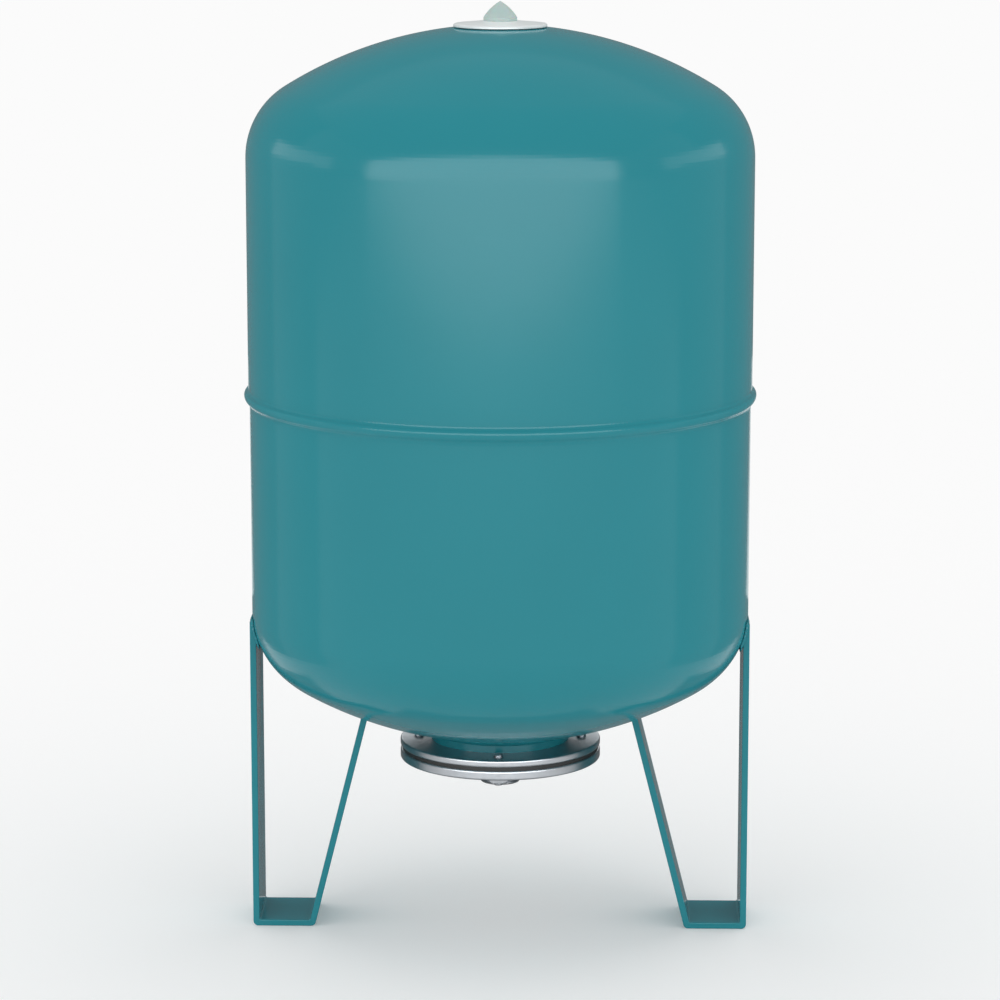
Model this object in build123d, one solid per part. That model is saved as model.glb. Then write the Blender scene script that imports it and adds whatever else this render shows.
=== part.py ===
from build123d import *
from math import asin, atan, cos, radians, sin, sqrt, tan
import os

# Upright membrane pressure tank for well water, about 60 litres, standing on two bent legs.
# Millimetres, +Z up, origin on the floor under the tank's axis, legs along the X axis.

# The two deep-drawn shells, pressed with one dome tool
shell_radius = 200.0
shell_wall = 1.5
lower_shell_step = 1.0
dome_crown_radius = 322.0
dome_knuckle_radius = 64.0
ground_clearance = 258.2
lower_wall_length = 175.5
upper_wall_length = 187.5

# The joggled joint and its weld bead
joint_overlap = 18.0
joint_clearance = 0.2
joggle_length = 4.0
girth_bead_width = 11.5
girth_bead_height = 3.3

# The neck collar and the bolted flange
flange_radius = 80.7
flange_width = 24.7
neck_wall = 6.0
neck_drop = 9.15
neck_stub = 4.0
neck_weld_leg = 3.5
backing_thickness = 5.6
counter_thickness = 4.0
counter_rim_height = 7.5
plate_edge_radius = 1.5
membrane_lip_thickness = 3.0
membrane_lip_inset = 1.5
bolt_count = 4
bolt_edge_distance = 15.2
stud_radius = 4.0
stud_rise = 2.0
stud_tail = 2.5
stud_hole_clearance = 0.5
stud_chamfer = 0.8
washer_radius = 8.0
washer_thickness = 1.6
nut_width = 13.0
nut_height = 6.5
nut_corner_cut = 1.0

# The pressed centre of the counter flange and the one-inch inlet
cone_inset = 4.0
cone_drop = 7.5
cone_floor_margin = 4.5
inlet_radius = 16.62
inlet_bore_radius = 12.5
inlet_length = 17.0
inlet_collar_width = 2.88
inlet_collar_height = 2.5
inlet_chamfer = 1.2

# The rubber membrane
membrane_wall = 2.0
membrane_neck_clearance = 0.8
membrane_side_gap = 33.5
membrane_knuckle_radius = 90.0
membrane_crown_radius = 215.0
membrane_neck_length = 32.0
membrane_head_room = 18.0

# The legs, bent from flat bar
leg_width = 63.0
leg_thickness = 5.0
leg_bend_radius = 1.5
leg_corner_radius = 4.0
leg_stand_off = 0.3
leg_top_drop = 6.5
foot_length = 49.8
strut_lean = 14.2
leg_weld_size = 2.5
leg_weld_bend_radius = 1.5

# The plate on the crown
plate_radius = 36.8
plate_thickness = 2.0
plate_rise = 3.2
plate_cone_drop = 2.0
plate_flat_radius = 13.5
plate_skirt = 2.6
pad_gap = 0.6
pad_width = 7.2

# The air valve and the boss that carries it
boss_radius = 12.0
boss_length = 17.0
boss_shoulder_radius = 18.0
boss_shoulder_thickness = 4.0
valve_thread_radius = 6.6
valve_thread_clearance = 0.05
valve_thread_length = 18.0
seal_washer_radius = 9.5
seal_washer_thickness = 1.0
valve_hex_width = 14.0
valve_hex_height = 4.0
valve_hex_corner_cut = 0.7
stem_wall = 1.25
stem_length = 5.2
valve_bore_radius = 2.6
pin_foot_clearance = 3.0
air_passage_step = 0.7

# The valve core and its sprung pin
core_length = 11.0
core_sink = 1.0
core_fit_clearance = 0.02
core_wall = 0.88
core_floor = 2.0
core_head = 3.0
pin_radius = 0.6
pin_clearance = 0.08
pin_tip_sink = 0.3
pin_collar_clearance = 0.3
pin_collar_height = 0.7
pin_travel = 1.2
pin_headroom = 1.1
seat_gap = 0.05
core_seal_clearance = 0.6
core_seal_height = 1.8
pin_foot_inset = 0.1
pin_foot_height = 0.8
spring_wire_radius = 0.2
spring_turns = 4

# The protective cap
cap_radius = 13.2
cap_band_height = 2.6
cap_point_height = 3.8
cap_bulge = 0.75
cap_skin = 1.3
cap_tip_radius = 0.8
cap_sleeve_wall = 1.1
cap_sleeve_clearance = 0.05
cap_head_room = 1.2
cap_seal_height = 1.0

# Places that follow from the sizes above
shell_dome = (dome_knuckle_radius, dome_crown_radius)
membrane_dome = (membrane_knuckle_radius, membrane_crown_radius)
lower_radius = shell_radius - lower_shell_step
joggle_radius = shell_radius - shell_wall - joint_clearance
seam_z = ground_clearance + lower_wall_length
upper_tangent_z = seam_z + upper_wall_length


def crown_offset(wall_radius, dome=shell_dome):
    """How far a dome's crown centre lies behind the end of the straight wall."""
    knuckle, crown = dome
    return sqrt((crown - knuckle) ** 2 - (wall_radius - knuckle) ** 2)


def crown_z(radius, wall_radius, tangent_z, up):
    """Height of the outer crown surface at a distance from the axis."""
    rise = sqrt(dome_crown_radius ** 2 - radius ** 2) - crown_offset(wall_radius)
    return tangent_z + up * rise


crown_top_z = crown_z(0, shell_radius, upper_tangent_z, 1)
neck_radius = flange_radius - flange_width
bolt_circle_radius = flange_radius - bolt_edge_distance
cone_radius = neck_radius - neck_wall - cone_inset
inlet_collar_radius = inlet_radius + inlet_collar_width
cone_floor_radius = inlet_collar_radius + cone_floor_margin
neck_root_z = crown_z(neck_radius, lower_radius, ground_clearance, -1)
flange_height = neck_root_z - neck_drop
backing_bottom_z = flange_height - backing_thickness
lip_bottom_z = backing_bottom_z - membrane_lip_thickness
counter_bottom_z = lip_bottom_z - counter_thickness
cone_bottom_z = counter_bottom_z - cone_drop
inlet_bottom_z = cone_bottom_z - inlet_length
membrane_neck_radius = neck_radius - neck_wall - membrane_neck_clearance
membrane_radius = shell_radius - shell_wall - membrane_side_gap
leg_face_x = lower_radius + leg_stand_off
leg_top_z = ground_clearance - leg_top_drop
plate_top_z = crown_top_z + plate_rise
plate_under_z = plate_top_z - plate_thickness
boss_bottom_z = plate_under_z - boss_length
pad_outer_radius = plate_radius - plate_thickness - pad_gap
pad_inner_radius = pad_outer_radius - pad_width
stem_radius = valve_bore_radius + stem_wall
air_passage_radius = valve_bore_radius - air_passage_step
hex_bottom_z = plate_top_z + seal_washer_thickness
hex_top_z = hex_bottom_z + valve_hex_height
stem_top_z = hex_top_z + stem_length
core_outer_radius = valve_bore_radius - core_fit_clearance
spring_chamber_radius = core_outer_radius - core_wall
core_seal_radius = valve_bore_radius - core_seal_clearance
core_top_z = stem_top_z - core_sink
core_bottom_z = core_top_z - core_length
spring_floor_z = core_bottom_z + core_floor
pin_ceiling_z = core_top_z - core_head
pin_collar_z = pin_ceiling_z - pin_headroom - pin_collar_height
pin_foot_z = core_bottom_z - seat_gap - core_seal_height - pin_foot_height


def section(points):
    """Closed flat section from (radius, height) points."""
    corners = [(r, 0, z) for r, z in points]
    return make_face(Polyline(*corners, close=True))


def turned(points):
    """Solid of revolution about the tank's axis from (radius, height) points."""
    return revolve(section(points), Axis.Z, 360)


def disc(radius, bottom, top):
    """Plain cylinder on the tank's axis."""
    return turned([(0, bottom), (radius, bottom), (radius, top), (0, top)])


def ring(inner, outer, bottom, top):
    """Plain ring on the tank's axis."""
    return turned([(inner, bottom), (outer, bottom), (outer, top), (inner, top)])


def dome_curve(radius, tangent_z, up, inset=0.0, dome=shell_dome, end_radius=0.0):
    """Knuckle arc and crown arc from the wall to end_radius, set in by a wall thickness."""
    knuckle, crown = dome
    knuckle_x = radius - knuckle
    meet = asin(knuckle_x / (crown - knuckle))
    end = asin(end_radius / (crown - inset))
    centre_z = tangent_z - up * crown_offset(radius, dome)

    def on_knuckle(angle):
        reach = knuckle - inset
        return (knuckle_x + reach * sin(angle), 0, tangent_z + up * reach * cos(angle))

    def on_crown(angle):
        reach = crown - inset
        return (reach * sin(angle), 0, centre_z + up * reach * cos(angle))

    quarter = radians(90)
    knuckle_arc = ThreePointArc(on_knuckle(quarter), on_knuckle((quarter + meet) / 2), on_knuckle(meet))
    crown_arc = ThreePointArc(on_crown(meet), on_crown((meet + end) / 2), on_crown(end))
    return [knuckle_arc, crown_arc]


def domed_body(radius, tangent_z, up, end_z, inset=0.0):
    """Filled body with one dome, from the pole to a flat end at end_z."""
    arcs = dome_curve(radius, tangent_z, up, inset)
    wall = radius - inset
    pole = arcs[1] @ 1
    wall_line = Line((wall, 0, end_z), (wall, 0, tangent_z))
    axis_line = Line(pole, (0, 0, end_z))
    end_line = Line((0, 0, end_z), (wall, 0, end_z))
    return revolve(make_face([wall_line, *arcs, axis_line, end_line]), Axis.Z, 360)


# The shells

def make_upper_shell():
    outside = domed_body(shell_radius, upper_tangent_z, 1, seam_z)
    inside = domed_body(shell_radius, upper_tangent_z, 1, seam_z, shell_wall)
    return outside - inside - disc(boss_radius, upper_tangent_z, crown_top_z + plate_rise)


def lower_outside():
    """Filled outer form of the lower shell below the joint."""
    return domed_body(lower_radius, ground_clearance, -1, seam_z)


def make_lower_shell():
    joggle_start_z = seam_z - joggle_length
    rim_z = seam_z + joint_overlap
    outside = domed_body(lower_radius, ground_clearance, -1, joggle_start_z)
    inside = domed_body(lower_radius, ground_clearance, -1, joggle_start_z, shell_wall)
    rim = turned([
        (lower_radius - shell_wall, joggle_start_z),
        (lower_radius, joggle_start_z),
        (joggle_radius, seam_z),
        (joggle_radius, rim_z),
        (joggle_radius - shell_wall, rim_z),
        (joggle_radius - shell_wall, seam_z),
    ])
    neck_hole = disc(neck_radius, 0, ground_clearance)
    return outside - inside + rim - neck_hole


def make_girth_weld(upper_shell, lower_shell):
    top_z = seam_z + girth_bead_width / 2
    bottom_z = seam_z - girth_bead_width / 2
    crest = (shell_radius + girth_bead_height, 0, seam_z)
    root_x = joggle_radius

    def flank(foot):
        """Two arcs: one leaves the wall softly, the other reaches the crest softly."""
        middle = ((foot[0] + crest[0]) / 2, 0, (foot[2] + crest[2]) / 2)
        inward = (0, 0, seam_z - foot[2])
        outward = (0, 0, foot[2] - seam_z)
        return [TangentArc(foot, middle, tangent=inward), TangentArc(crest, middle, tangent=outward)]

    lower_flank = flank((lower_radius, 0, bottom_z))
    upper_flank = flank((shell_radius, 0, top_z))
    top = Line((shell_radius, 0, top_z), (root_x, 0, top_z))
    root = Line((root_x, 0, top_z), (root_x, 0, bottom_z))
    bottom = Line((root_x, 0, bottom_z), (lower_radius, 0, bottom_z))
    bead = revolve(make_face([*lower_flank, *upper_flank, top, root, bottom]), Axis.Z, 360)
    inner_lap = ring(0, shell_radius - shell_wall, seam_z, top_z)
    return bead - upper_shell - lower_shell - inner_lap


# The neck and the flange

def make_neck_collar():
    inside_z = neck_root_z + shell_wall + neck_stub
    return ring(neck_radius - neck_wall, neck_radius, backing_bottom_z, inside_z)


def make_neck_weld():
    def on_dome(radius):
        return (radius, 0, crown_z(radius, lower_radius, ground_clearance, -1))

    outer_radius = neck_radius + neck_weld_leg
    dome_side = ThreePointArc(
        on_dome(outer_radius),
        on_dome((outer_radius + neck_radius) / 2),
        on_dome(neck_radius),
    )
    toe = (neck_radius, 0, neck_root_z - neck_weld_leg)
    sides = Polyline(dome_side @ 1, toe, dome_side @ 0)
    return revolve(make_face([dome_side, *sides.edges()]), Axis.Z, 360)


def bolt_places(z):
    """One place on the bolt circle for each stud."""
    return [spot * Pos(0, 0, z) for spot in PolarLocations(bolt_circle_radius, bolt_count)]


def bolt_holes(radius, bottom, top):
    """Cutters for one hole at each stud."""
    hole = Cylinder(radius, top - bottom)
    return [place * hole for place in bolt_places((top + bottom) / 2)]


def make_backing_flange():
    plate = ring(neck_radius, flange_radius, backing_bottom_z, flange_height)
    rims = plate.edges().filter_by(GeomType.CIRCLE).sort_by(SortBy.RADIUS)[-2:]
    plate = fillet(rims, plate_edge_radius)
    return plate - bolt_holes(stud_radius, backing_bottom_z, flange_height)


def make_counter_flange():
    """Clamping plate with a turned-down rim and a pressed funnel in the middle that carries the inlet."""
    slope = atan(cone_drop / (cone_radius - cone_floor_radius))
    shift = counter_thickness * tan(slope / 2)
    rim_inner_radius = flange_radius - counter_thickness
    rim_bottom_z = lip_bottom_z - counter_rim_height
    plate = turned([
        (inlet_radius, cone_bottom_z),
        (cone_floor_radius, cone_bottom_z),
        (cone_radius, counter_bottom_z),
        (rim_inner_radius, counter_bottom_z),
        (rim_inner_radius, rim_bottom_z),
        (flange_radius, rim_bottom_z),
        (flange_radius, lip_bottom_z),
        (cone_radius - shift, lip_bottom_z),
        (cone_floor_radius - shift, cone_bottom_z + counter_thickness),
        (inlet_radius, cone_bottom_z + counter_thickness),
    ])
    rims = plate.edges().filter_by(GeomType.CIRCLE).sort_by(SortBy.RADIUS)[-2:]
    plate = fillet(rims, plate_edge_radius)
    clear = stud_radius + stud_hole_clearance
    return plate - bolt_holes(clear, counter_bottom_z, lip_bottom_z)


def make_inlet_nipple():
    """One-inch pipe nipple set through the funnel, with a collar below it."""
    top_z = cone_bottom_z + counter_thickness
    nipple = turned([
        (inlet_bore_radius, inlet_bottom_z),
        (inlet_radius - inlet_chamfer, inlet_bottom_z),
        (inlet_radius, inlet_bottom_z + inlet_chamfer),
        (inlet_radius, cone_bottom_z - inlet_collar_height),
        (inlet_collar_radius, cone_bottom_z - inlet_collar_height),
        (inlet_collar_radius, cone_bottom_z),
        (inlet_radius, cone_bottom_z),
        (inlet_radius, top_z),
        (inlet_bore_radius, top_z),
    ])
    return nipple


def make_flange_studs():
    bottom = counter_bottom_z - washer_thickness - nut_height - stud_tail
    top = flange_height + stud_rise
    stud = Cylinder(stud_radius, top - bottom)
    stud = chamfer(stud.edges().filter_by(GeomType.CIRCLE), stud_chamfer)
    return [place * stud for place in bolt_places((top + bottom) / 2)]


def make_flange_washers():
    washer = Cylinder(washer_radius, washer_thickness)
    washer -= Cylinder(stud_radius + stud_hole_clearance / 2, washer_thickness)
    return [place * washer for place in bolt_places(counter_bottom_z - washer_thickness / 2)]


def hexagon(width, height, bottom, corner_cut):
    """Hexagonal prism on the axis with turned corners at both ends."""
    blank = extrude(RegularPolygon(width / 2, 6, major_radius=False), height)
    corner = width / 2 / cos(radians(30))
    face = corner - corner_cut
    rise = corner_cut * tan(radians(30))
    barrel = turned([
        (0, 0),
        (face, 0),
        (corner, rise),
        (corner, height - rise),
        (face, height),
        (0, height),
    ])
    return Pos(0, 0, bottom) * (blank & barrel)


def make_flange_nuts():
    bore = Pos(0, 0, nut_height / 2) * Cylinder(stud_radius, nut_height)
    nut = hexagon(nut_width, nut_height, 0, nut_corner_cut) - bore
    bottom = counter_bottom_z - washer_thickness - nut_height
    return [place * nut for place in bolt_places(bottom)]


# The membrane

def membrane_body(inset):
    """Filled body of the bag, from its mouth in the flange to its crown."""
    neck = membrane_neck_radius - inset
    wall = membrane_radius - inset
    neck_top_z = backing_bottom_z + membrane_neck_length
    base_rise = sqrt(membrane_crown_radius ** 2 - membrane_neck_radius ** 2)
    dome_offset = crown_offset(membrane_radius, membrane_dome)
    base_z = neck_top_z + base_rise - dome_offset
    shoulder_z = boss_bottom_z - membrane_head_room - membrane_crown_radius + dome_offset
    base = dome_curve(membrane_radius, base_z, -1, inset, membrane_dome, neck)
    crown = dome_curve(membrane_radius, shoulder_z, 1, inset, membrane_dome)
    lines = [
        Line((wall, 0, base_z), (wall, 0, shoulder_z)),
        Line(crown[1] @ 1, (0, 0, lip_bottom_z)),
        Line((0, 0, lip_bottom_z), (neck, 0, lip_bottom_z)),
        Line((neck, 0, lip_bottom_z), base[1] @ 1),
    ]
    return revolve(make_face([*base, *crown, *lines]), Axis.Z, 360)


def make_membrane():
    bag = membrane_body(0) - membrane_body(membrane_wall)
    lip = ring(
        membrane_neck_radius - membrane_wall,
        flange_radius - membrane_lip_inset,
        lip_bottom_z,
        backing_bottom_z,
    )
    clear = stud_radius + stud_hole_clearance
    return bag + lip - bolt_holes(clear, lip_bottom_z, backing_bottom_z)


# The legs

def leg_blank(grow=0.0, bend=leg_bend_radius, corner=leg_corner_radius):
    """Bent bar on the +X side, thickened by grow on each face, with both ends long enough to trim."""
    lean = radians(strut_lean)
    thickness = leg_thickness + 2 * grow
    face_x = leg_face_x + grow
    heel_x = leg_face_x - foot_length - grow / cos(lean) + grow * tan(lean)
    sole_z = -grow
    top_z = leg_top_z + grow
    strut_length = ground_clearance
    strut_end = (heel_x - strut_length * sin(lean), sole_z + strut_length * cos(lean))
    inner_sole = thickness * (1 - sin(lean)) / cos(lean)
    outer = FilletPolyline(
        (face_x, 0, top_z),
        (face_x, 0, sole_z),
        (heel_x, 0, sole_z),
        (strut_end[0], 0, strut_end[1]),
        radius=corner,
    )
    inner = FilletPolyline(
        (face_x - thickness, 0, top_z),
        (face_x - thickness, 0, sole_z + thickness),
        (heel_x + thickness * cos(lean) - inner_sole * sin(lean), 0, sole_z + thickness),
        (strut_end[0] + thickness * cos(lean), 0, strut_end[1] + thickness * sin(lean)),
        radius=bend,
    )
    ends = [Line(outer @ 0, inner @ 0), Line(outer @ 1, inner @ 1)]
    bar = make_face([*outer.edges(), *inner.edges(), *ends])
    return extrude(bar, leg_width / 2 + grow, both=True)


def make_right_leg():
    return leg_blank() - lower_outside()


def make_right_leg_welds(leg):
    """Beads of even height round both ends of a leg, on the dome."""
    skin = domed_body(lower_radius + leg_weld_size, ground_clearance, -1, seam_z)
    half = Pos(leg_face_x / 2, 0, ground_clearance / 2)
    reach = half * Box(leg_face_x, leg_width * 2, ground_clearance * 2)
    wrap = leg_blank(leg_weld_size, leg_weld_bend_radius, leg_corner_radius + leg_weld_size)
    return (wrap & skin & reach) - lower_outside() - leg


# The crown: plate, boss, valve and cap

def make_top_plate():
    rim_top_z = plate_top_z - plate_cone_drop
    cone_end = plate_radius - plate_edge_radius
    skirt_radius = plate_radius - plate_thickness
    slope = plate_cone_drop / (cone_end - plate_flat_radius)
    skirt_top_z = plate_under_z - slope * (skirt_radius - plate_flat_radius)
    bottom_z = rim_top_z - plate_skirt
    edge_cut = plate_edge_radius * (1 - cos(radians(45)))
    hole = valve_thread_radius + stud_hole_clearance
    corner = ThreePointArc(
        (cone_end, 0, rim_top_z),
        (plate_radius - edge_cut, 0, rim_top_z - edge_cut),
        (plate_radius, 0, rim_top_z - plate_edge_radius),
    )
    sides = Polyline(
        corner @ 1,
        (plate_radius, 0, bottom_z),
        (skirt_radius, 0, bottom_z),
        (skirt_radius, 0, skirt_top_z),
        (plate_flat_radius, 0, plate_under_z),
        (hole, 0, plate_under_z),
        (hole, 0, plate_top_z),
        (plate_flat_radius, 0, plate_top_z),
        corner @ 0,
    )
    return revolve(make_face([corner, *sides.edges()]), Axis.Z, 360)


def make_plate_pad(top_plate):
    """Rubber ring between the dome and the plate, moulded to both."""
    blank = ring(pad_inner_radius, pad_outer_radius, crown_top_z - plate_rise, plate_top_z)
    above = turned([
        (0, plate_under_z),
        (plate_flat_radius, plate_under_z),
        (plate_radius, plate_under_z - plate_cone_drop),
        (plate_radius, plate_top_z),
        (0, plate_top_z),
    ])
    return blank - domed_body(shell_radius, upper_tangent_z, 1, seam_z) - above - top_plate


def make_valve_boss(upper_shell):
    shoulder_z = crown_top_z - shell_wall
    body = ring(valve_thread_radius, boss_radius, boss_bottom_z, plate_under_z)
    shoulder = ring(boss_radius, boss_shoulder_radius, shoulder_z - boss_shoulder_thickness, shoulder_z)
    return body + (shoulder - upper_shell)


def make_valve_washer():
    return ring(valve_thread_radius, seal_washer_radius, plate_top_z, hex_bottom_z)


def make_air_valve():
    thread = valve_thread_radius - valve_thread_clearance
    bottom_z = hex_bottom_z - valve_thread_length
    step_z = pin_foot_z - pin_travel - pin_foot_clearance
    body = disc(thread, bottom_z, hex_bottom_z)
    body += hexagon(valve_hex_width, valve_hex_height, hex_bottom_z, valve_hex_corner_cut)
    body += disc(stem_radius, hex_top_z, stem_top_z)
    body -= disc(valve_bore_radius, step_z, stem_top_z)
    return body - disc(air_passage_radius, bottom_z, step_z)


def make_valve_core():
    guide = pin_radius + pin_clearance
    return turned([
        (guide, core_bottom_z),
        (core_outer_radius, core_bottom_z),
        (core_outer_radius, core_top_z),
        (guide, core_top_z),
        (guide, pin_ceiling_z),
        (spring_chamber_radius, pin_ceiling_z),
        (spring_chamber_radius, spring_floor_z),
        (guide, spring_floor_z),
    ])


def make_core_pin():
    """Pin with the collar that the spring lifts and the foot that carries the seal."""
    foot_top_z = pin_foot_z + pin_foot_height
    tip_z = stem_top_z - pin_tip_sink
    pin_foot_radius = core_seal_radius - pin_foot_inset
    pin_collar_radius = spring_chamber_radius - pin_collar_clearance
    return turned([
        (0, pin_foot_z),
        (pin_foot_radius, pin_foot_z),
        (pin_foot_radius, foot_top_z),
        (pin_radius, foot_top_z),
        (pin_radius, pin_collar_z),
        (pin_collar_radius, pin_collar_z),
        (pin_collar_radius, pin_collar_z + pin_collar_height),
        (pin_radius, pin_collar_z + pin_collar_height),
        (pin_radius, tip_z - pin_radius / 2),
        (pin_radius / 2, tip_z),
        (0, tip_z),
    ])


def make_core_seal():
    top_z = core_bottom_z - seat_gap
    return ring(pin_radius, core_seal_radius, top_z - core_seal_height, top_z)


def make_core_spring():
    low = spring_floor_z + spring_wire_radius
    high = pin_collar_z - spring_wire_radius
    coil_radius = (pin_radius + spring_chamber_radius) / 2
    path = Pos(0, 0, low) * Helix((high - low) / spring_turns, high - low, coil_radius)
    wire = Plane(path @ 0, z_dir=path % 0) * Circle(spring_wire_radius)
    return sweep(wire, path=path, is_frenet=True)


def cap_side(radius, base_z, tip_radius, tip_z):
    """Slightly bulged side of the cap, from its band to its tip."""
    mid_x = (radius + tip_radius) / 2 + cap_bulge
    mid_z = (base_z + tip_z) / 2 + cap_bulge
    return ThreePointArc((radius, 0, base_z), (mid_x, 0, mid_z), (tip_radius, 0, tip_z))


def make_valve_cap():
    bottom_z = plate_top_z
    band_z = bottom_z + cap_band_height
    ceiling_z = stem_top_z + cap_head_room
    tip_z = ceiling_z + cap_point_height
    crown = cap_side(cap_radius, band_z, cap_tip_radius, tip_z - cap_tip_radius / 2)
    outline = Polyline(
        crown @ 1,
        (0, 0, tip_z),
        (0, 0, bottom_z),
        (cap_radius, 0, bottom_z),
        crown @ 0,
    )
    outside = revolve(make_face([crown, *outline.edges()]), Axis.Z, 360)
    stem_room = stem_radius + cap_sleeve_clearance
    hollow_side = cap_side(cap_radius - cap_skin, band_z, stem_room, ceiling_z)
    hollow_outline = Polyline(
        hollow_side @ 1,
        (0, 0, ceiling_z),
        (0, 0, bottom_z),
        (cap_radius - cap_skin, 0, bottom_z),
        hollow_side @ 0,
    )
    hollow = revolve(make_face([hollow_side, *hollow_outline.edges()]), Axis.Z, 360)
    sleeve = ring(stem_room, stem_room + cap_sleeve_wall, hex_top_z + cap_seal_height, ceiling_z)
    return outside - (hollow - sleeve)


def make_cap_seal():
    inner = stem_radius + cap_sleeve_clearance
    return ring(inner, inner + cap_sleeve_wall, hex_top_z, hex_top_z + cap_seal_height)


def as_solids(shape):
    """Every solid in a shape or in a list of shapes."""
    shapes = shape if isinstance(shape, list) else [shape]
    solids = []
    for one in shapes:
        solids.extend(one.solids())
    return solids


def build_nodes():
    nodes = {}
    upper_shell = make_upper_shell()
    lower_shell = make_lower_shell()
    nodes["upper_shell"] = upper_shell
    nodes["lower_shell"] = lower_shell
    nodes["girth_weld"] = make_girth_weld(upper_shell, lower_shell)
    nodes["neck_collar"] = make_neck_collar()
    nodes["neck_weld"] = make_neck_weld()
    nodes["backing_flange"] = make_backing_flange()
    nodes["counter_flange"] = make_counter_flange()
    nodes["inlet_nipple"] = make_inlet_nipple()
    nodes["flange_studs"] = make_flange_studs()
    nodes["flange_washers"] = make_flange_washers()
    nodes["flange_nuts"] = make_flange_nuts()
    nodes["membrane"] = make_membrane()
    right_leg = make_right_leg()
    right_welds = make_right_leg_welds(right_leg)
    nodes["right_leg"] = right_leg
    nodes["left_leg"] = mirror(right_leg, Plane.YZ)
    nodes["leg_welds"] = [right_welds, mirror(right_welds, Plane.YZ)]
    top_plate = make_top_plate()
    nodes["top_plate"] = top_plate
    nodes["plate_pad"] = make_plate_pad(top_plate)
    nodes["valve_boss"] = make_valve_boss(upper_shell)
    nodes["valve_washer"] = make_valve_washer()
    nodes["air_valve"] = make_air_valve()
    nodes["valve_core"] = make_valve_core()
    nodes["core_pin"] = make_core_pin()
    nodes["core_seal"] = make_core_seal()
    nodes["core_spring"] = make_core_spring()
    nodes["valve_cap"] = make_valve_cap()
    nodes["cap_seal"] = make_cap_seal()
    return nodes


os.makedirs("parts", exist_ok=True)
for name, shape in build_nodes().items():
    solids = as_solids(shape)
    export_step(Compound(children=solids) if len(solids) > 1 else solids[0], f"parts/{name}.step")
    print(name, len(solids), "solid" if len(solids) == 1 else "solids")
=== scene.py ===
# %% [markdown]
# A well pressure tank in teal enamel.
# The real tank is two deep-drawn steel shells welded mouth to mouth, standing on two bent flat bars.
# A bolted flange below clamps the rubber membrane, and a capped air valve sits on the crown.
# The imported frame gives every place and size, and this script gives each piece its finished form and look.

# %% Load the frame
from math import asin, atan2, cos, pi, radians, sin, sqrt

import bmesh
import bpy
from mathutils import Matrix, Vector


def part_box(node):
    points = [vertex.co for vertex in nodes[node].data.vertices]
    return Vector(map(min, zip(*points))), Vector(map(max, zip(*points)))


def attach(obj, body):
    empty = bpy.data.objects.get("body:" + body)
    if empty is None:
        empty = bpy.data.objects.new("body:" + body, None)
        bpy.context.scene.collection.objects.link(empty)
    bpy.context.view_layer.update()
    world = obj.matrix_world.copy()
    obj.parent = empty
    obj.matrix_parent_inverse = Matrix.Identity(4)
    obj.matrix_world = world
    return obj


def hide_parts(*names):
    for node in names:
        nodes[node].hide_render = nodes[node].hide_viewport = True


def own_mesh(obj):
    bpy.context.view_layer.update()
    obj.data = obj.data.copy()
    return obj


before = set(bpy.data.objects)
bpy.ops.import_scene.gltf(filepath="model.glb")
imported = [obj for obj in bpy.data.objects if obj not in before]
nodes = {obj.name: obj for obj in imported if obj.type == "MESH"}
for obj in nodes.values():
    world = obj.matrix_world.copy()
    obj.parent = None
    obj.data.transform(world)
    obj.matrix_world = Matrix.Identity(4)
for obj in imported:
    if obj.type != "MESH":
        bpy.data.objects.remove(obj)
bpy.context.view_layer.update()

# %% [markdown]
# The camera stands where the photographer stood: a long lens, about three metres away, looking down by
# eleven degrees. The tank is turned by little more than a degree, which shows in the feet.

# %% Place the camera
camera_place = (0.0704, -2.9533, 0.91435)
camera_pitch_degrees = 79.11
camera_turn_degrees = 1.37
camera_lens_mm = 135.4
sensor_mm = 36.0

camera_data = bpy.data.cameras.new("camera")
camera_data.lens = camera_lens_mm
camera_data.sensor_width = sensor_mm
camera = bpy.data.objects.new("camera", camera_data)
camera.location = camera_place
camera.rotation_euler = (radians(camera_pitch_degrees), 0.0, radians(camera_turn_degrees))
bpy.context.scene.collection.objects.link(camera)
bpy.context.scene.camera = camera
print("camera looks down by", round(90 - camera_pitch_degrees, 2), "degrees")

# %% [markdown]
# A finish is a small tree of shader nodes. It could be wired by hand in the shader editor, but written out
# it can be read and changed. Each helper below makes one kind of node and wires it, so that the recipes for
# paint, zinc and rubber read as a list of what the finish is made of.


# %% Helpers for finishes
def new_finish(name, colour, roughness, metallic=0.0, **sockets):
    """A principled material with its plain values set on the shader itself."""
    material = bpy.data.materials.new(name)
    material.use_nodes = True
    shader = material.node_tree.nodes["Principled BSDF"]
    shader.inputs["Base Color"].default_value = (*colour, 1.0)
    shader.inputs["Roughness"].default_value = roughness
    shader.inputs["Metallic"].default_value = metallic
    for socket, value in sockets.items():
        shader.inputs[socket.replace("_", " ")].default_value = value
    return material, shader


def add_node(material, kind, **values):
    """A node with its inputs set by name and its other settings as attributes."""
    node = material.node_tree.nodes.new(kind)
    for key, value in values.items():
        label = key.replace("_", " ")
        if label in node.inputs:
            node.inputs[label].default_value = value
        else:
            setattr(node, key, value)
    return node


def wire(material, start, end):
    """One link from an output to an input."""
    material.node_tree.links.new(start, end)


def object_place(material):
    """The object-space position of each point, in metres."""
    return add_node(material, "ShaderNodeTexCoord").outputs["Object"]


def noise(material, scale, detail, roughness=0.5):
    """Soft cloudy noise; a scale of 100 has features about one centimetre across."""
    node = add_node(material, "ShaderNodeTexNoise", Scale=scale, Detail=detail, Roughness=roughness)
    wire(material, object_place(material), node.inputs["Vector"])
    return node.outputs["Fac"]


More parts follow.
